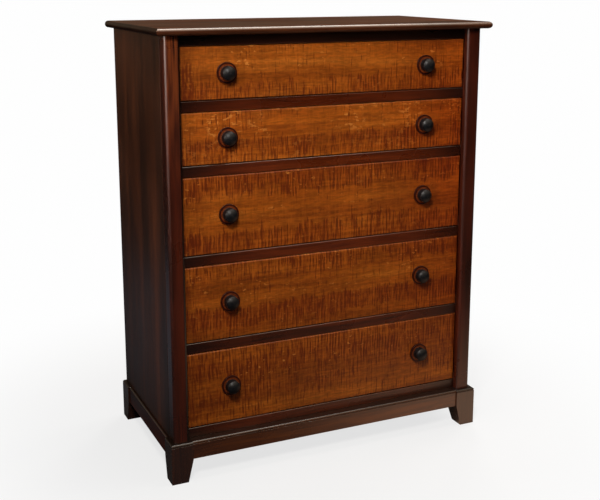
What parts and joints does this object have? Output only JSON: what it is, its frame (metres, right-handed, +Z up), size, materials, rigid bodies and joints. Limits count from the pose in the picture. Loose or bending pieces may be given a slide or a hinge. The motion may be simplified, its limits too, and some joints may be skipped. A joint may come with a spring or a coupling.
{
  "type": "chest of drawers",
  "caption": "Free-standing chest of sliding dovetailed drawers with proud rounded corner stiles, half-round top edge, moulded base on block feet, figured fronts and round knobs.",
  "frame": {"origin": "on the floor, under the middle of the top board", "axes": "+X to the right as seen from the front, +Y towards the back, +Z up; the drawers open along -Y"},
  "size_m": [0.914, 0.481, 1.131],
  "materials": {
    "dark_case_wood": "satin lacquer over dark brown stain",
    "figured_maple": "satin lacquer over amber stain, curly figure",
    "drawer_box_wood": "clear satin lacquer",
    "thin_panel": "clear matte lacquer",
    "frame_wood": "bare planed wood",
    "knob_wood": "gloss lacquer over very dark stain"
  },
  "bodies": {
    "case": {"back_panel": "thin_panel", "base_cleats": "frame_wood", "bottom_rail": "dark_case_wood", "divider_rail_1": "dark_case_wood", "divider_rail_2": "dark_case_wood", "divider_rail_3": "dark_case_wood", "divider_rail_4": "dark_case_wood", "drawer_runners": "frame_wood", "drawer_stops": "frame_wood", "front_apron": "dark_case_wood", "front_left_foot": "dark_case_wood", "front_right_foot": "dark_case_wood", "left_apron": "dark_case_wood", "left_front_stile": "dark_case_wood", "left_side_panel": "dark_case_wood", "rear_apron": "dark_case_wood", "rear_left_foot": "dark_case_wood", "rear_rails": "frame_wood", "rear_right_foot": "dark_case_wood", "right_apron": "dark_case_wood", "right_front_stile": "dark_case_wood", "right_side_panel": "dark_case_wood", "side_guides": "frame_wood", "top_board": "dark_case_wood", "top_rail": "dark_case_wood"},
    "drawer_1": {"drawer_1_back": "drawer_box_wood", "drawer_1_bottom": "thin_panel", "drawer_1_front": "figured_maple", "drawer_1_knobs": "knob_wood", "drawer_1_left_side": "drawer_box_wood", "drawer_1_right_side": "drawer_box_wood"},
    "drawer_2": {"drawer_2_back": "drawer_box_wood", "drawer_2_bottom": "thin_panel", "drawer_2_front": "figured_maple", "drawer_2_knobs": "knob_wood", "drawer_2_left_side": "drawer_box_wood", "drawer_2_right_side": "drawer_box_wood"},
    "drawer_3": {"drawer_3_back": "drawer_box_wood", "drawer_3_bottom": "thin_panel", "drawer_3_front": "figured_maple", "drawer_3_knobs": "knob_wood", "drawer_3_left_side": "drawer_box_wood", "drawer_3_right_side": "drawer_box_wood"},
    "drawer_4": {"drawer_4_back": "drawer_box_wood", "drawer_4_bottom": "thin_panel", "drawer_4_front": "figured_maple", "drawer_4_knobs": "knob_wood", "drawer_4_left_side": "drawer_box_wood", "drawer_4_right_side": "drawer_box_wood"},
    "drawer_5": {"drawer_5_back": "drawer_box_wood", "drawer_5_bottom": "thin_panel", "drawer_5_front": "figured_maple", "drawer_5_knobs": "knob_wood", "drawer_5_left_side": "drawer_box_wood", "drawer_5_right_side": "drawer_box_wood"}
  },
  "joints": [
    {"name": "drawer_1_slide", "type": "slide", "parent": "case", "child": "drawer_1", "axis": [0, -1, 0], "range_m": [0, 0.32]},
    {"name": "drawer_2_slide", "type": "slide", "parent": "case", "child": "drawer_2", "axis": [0, -1, 0], "range_m": [0, 0.32]},
    {"name": "drawer_3_slide", "type": "slide", "parent": "case", "child": "drawer_3", "axis": [0, -1, 0], "range_m": [0, 0.32]},
    {"name": "drawer_4_slide", "type": "slide", "parent": "case", "child": "drawer_4", "axis": [0, -1, 0], "range_m": [0, 0.32]},
    {"name": "drawer_5_slide", "type": "slide", "parent": "case", "child": "drawer_5", "axis": [0, -1, 0], "range_m": [0, 0.32]}
  ]
}
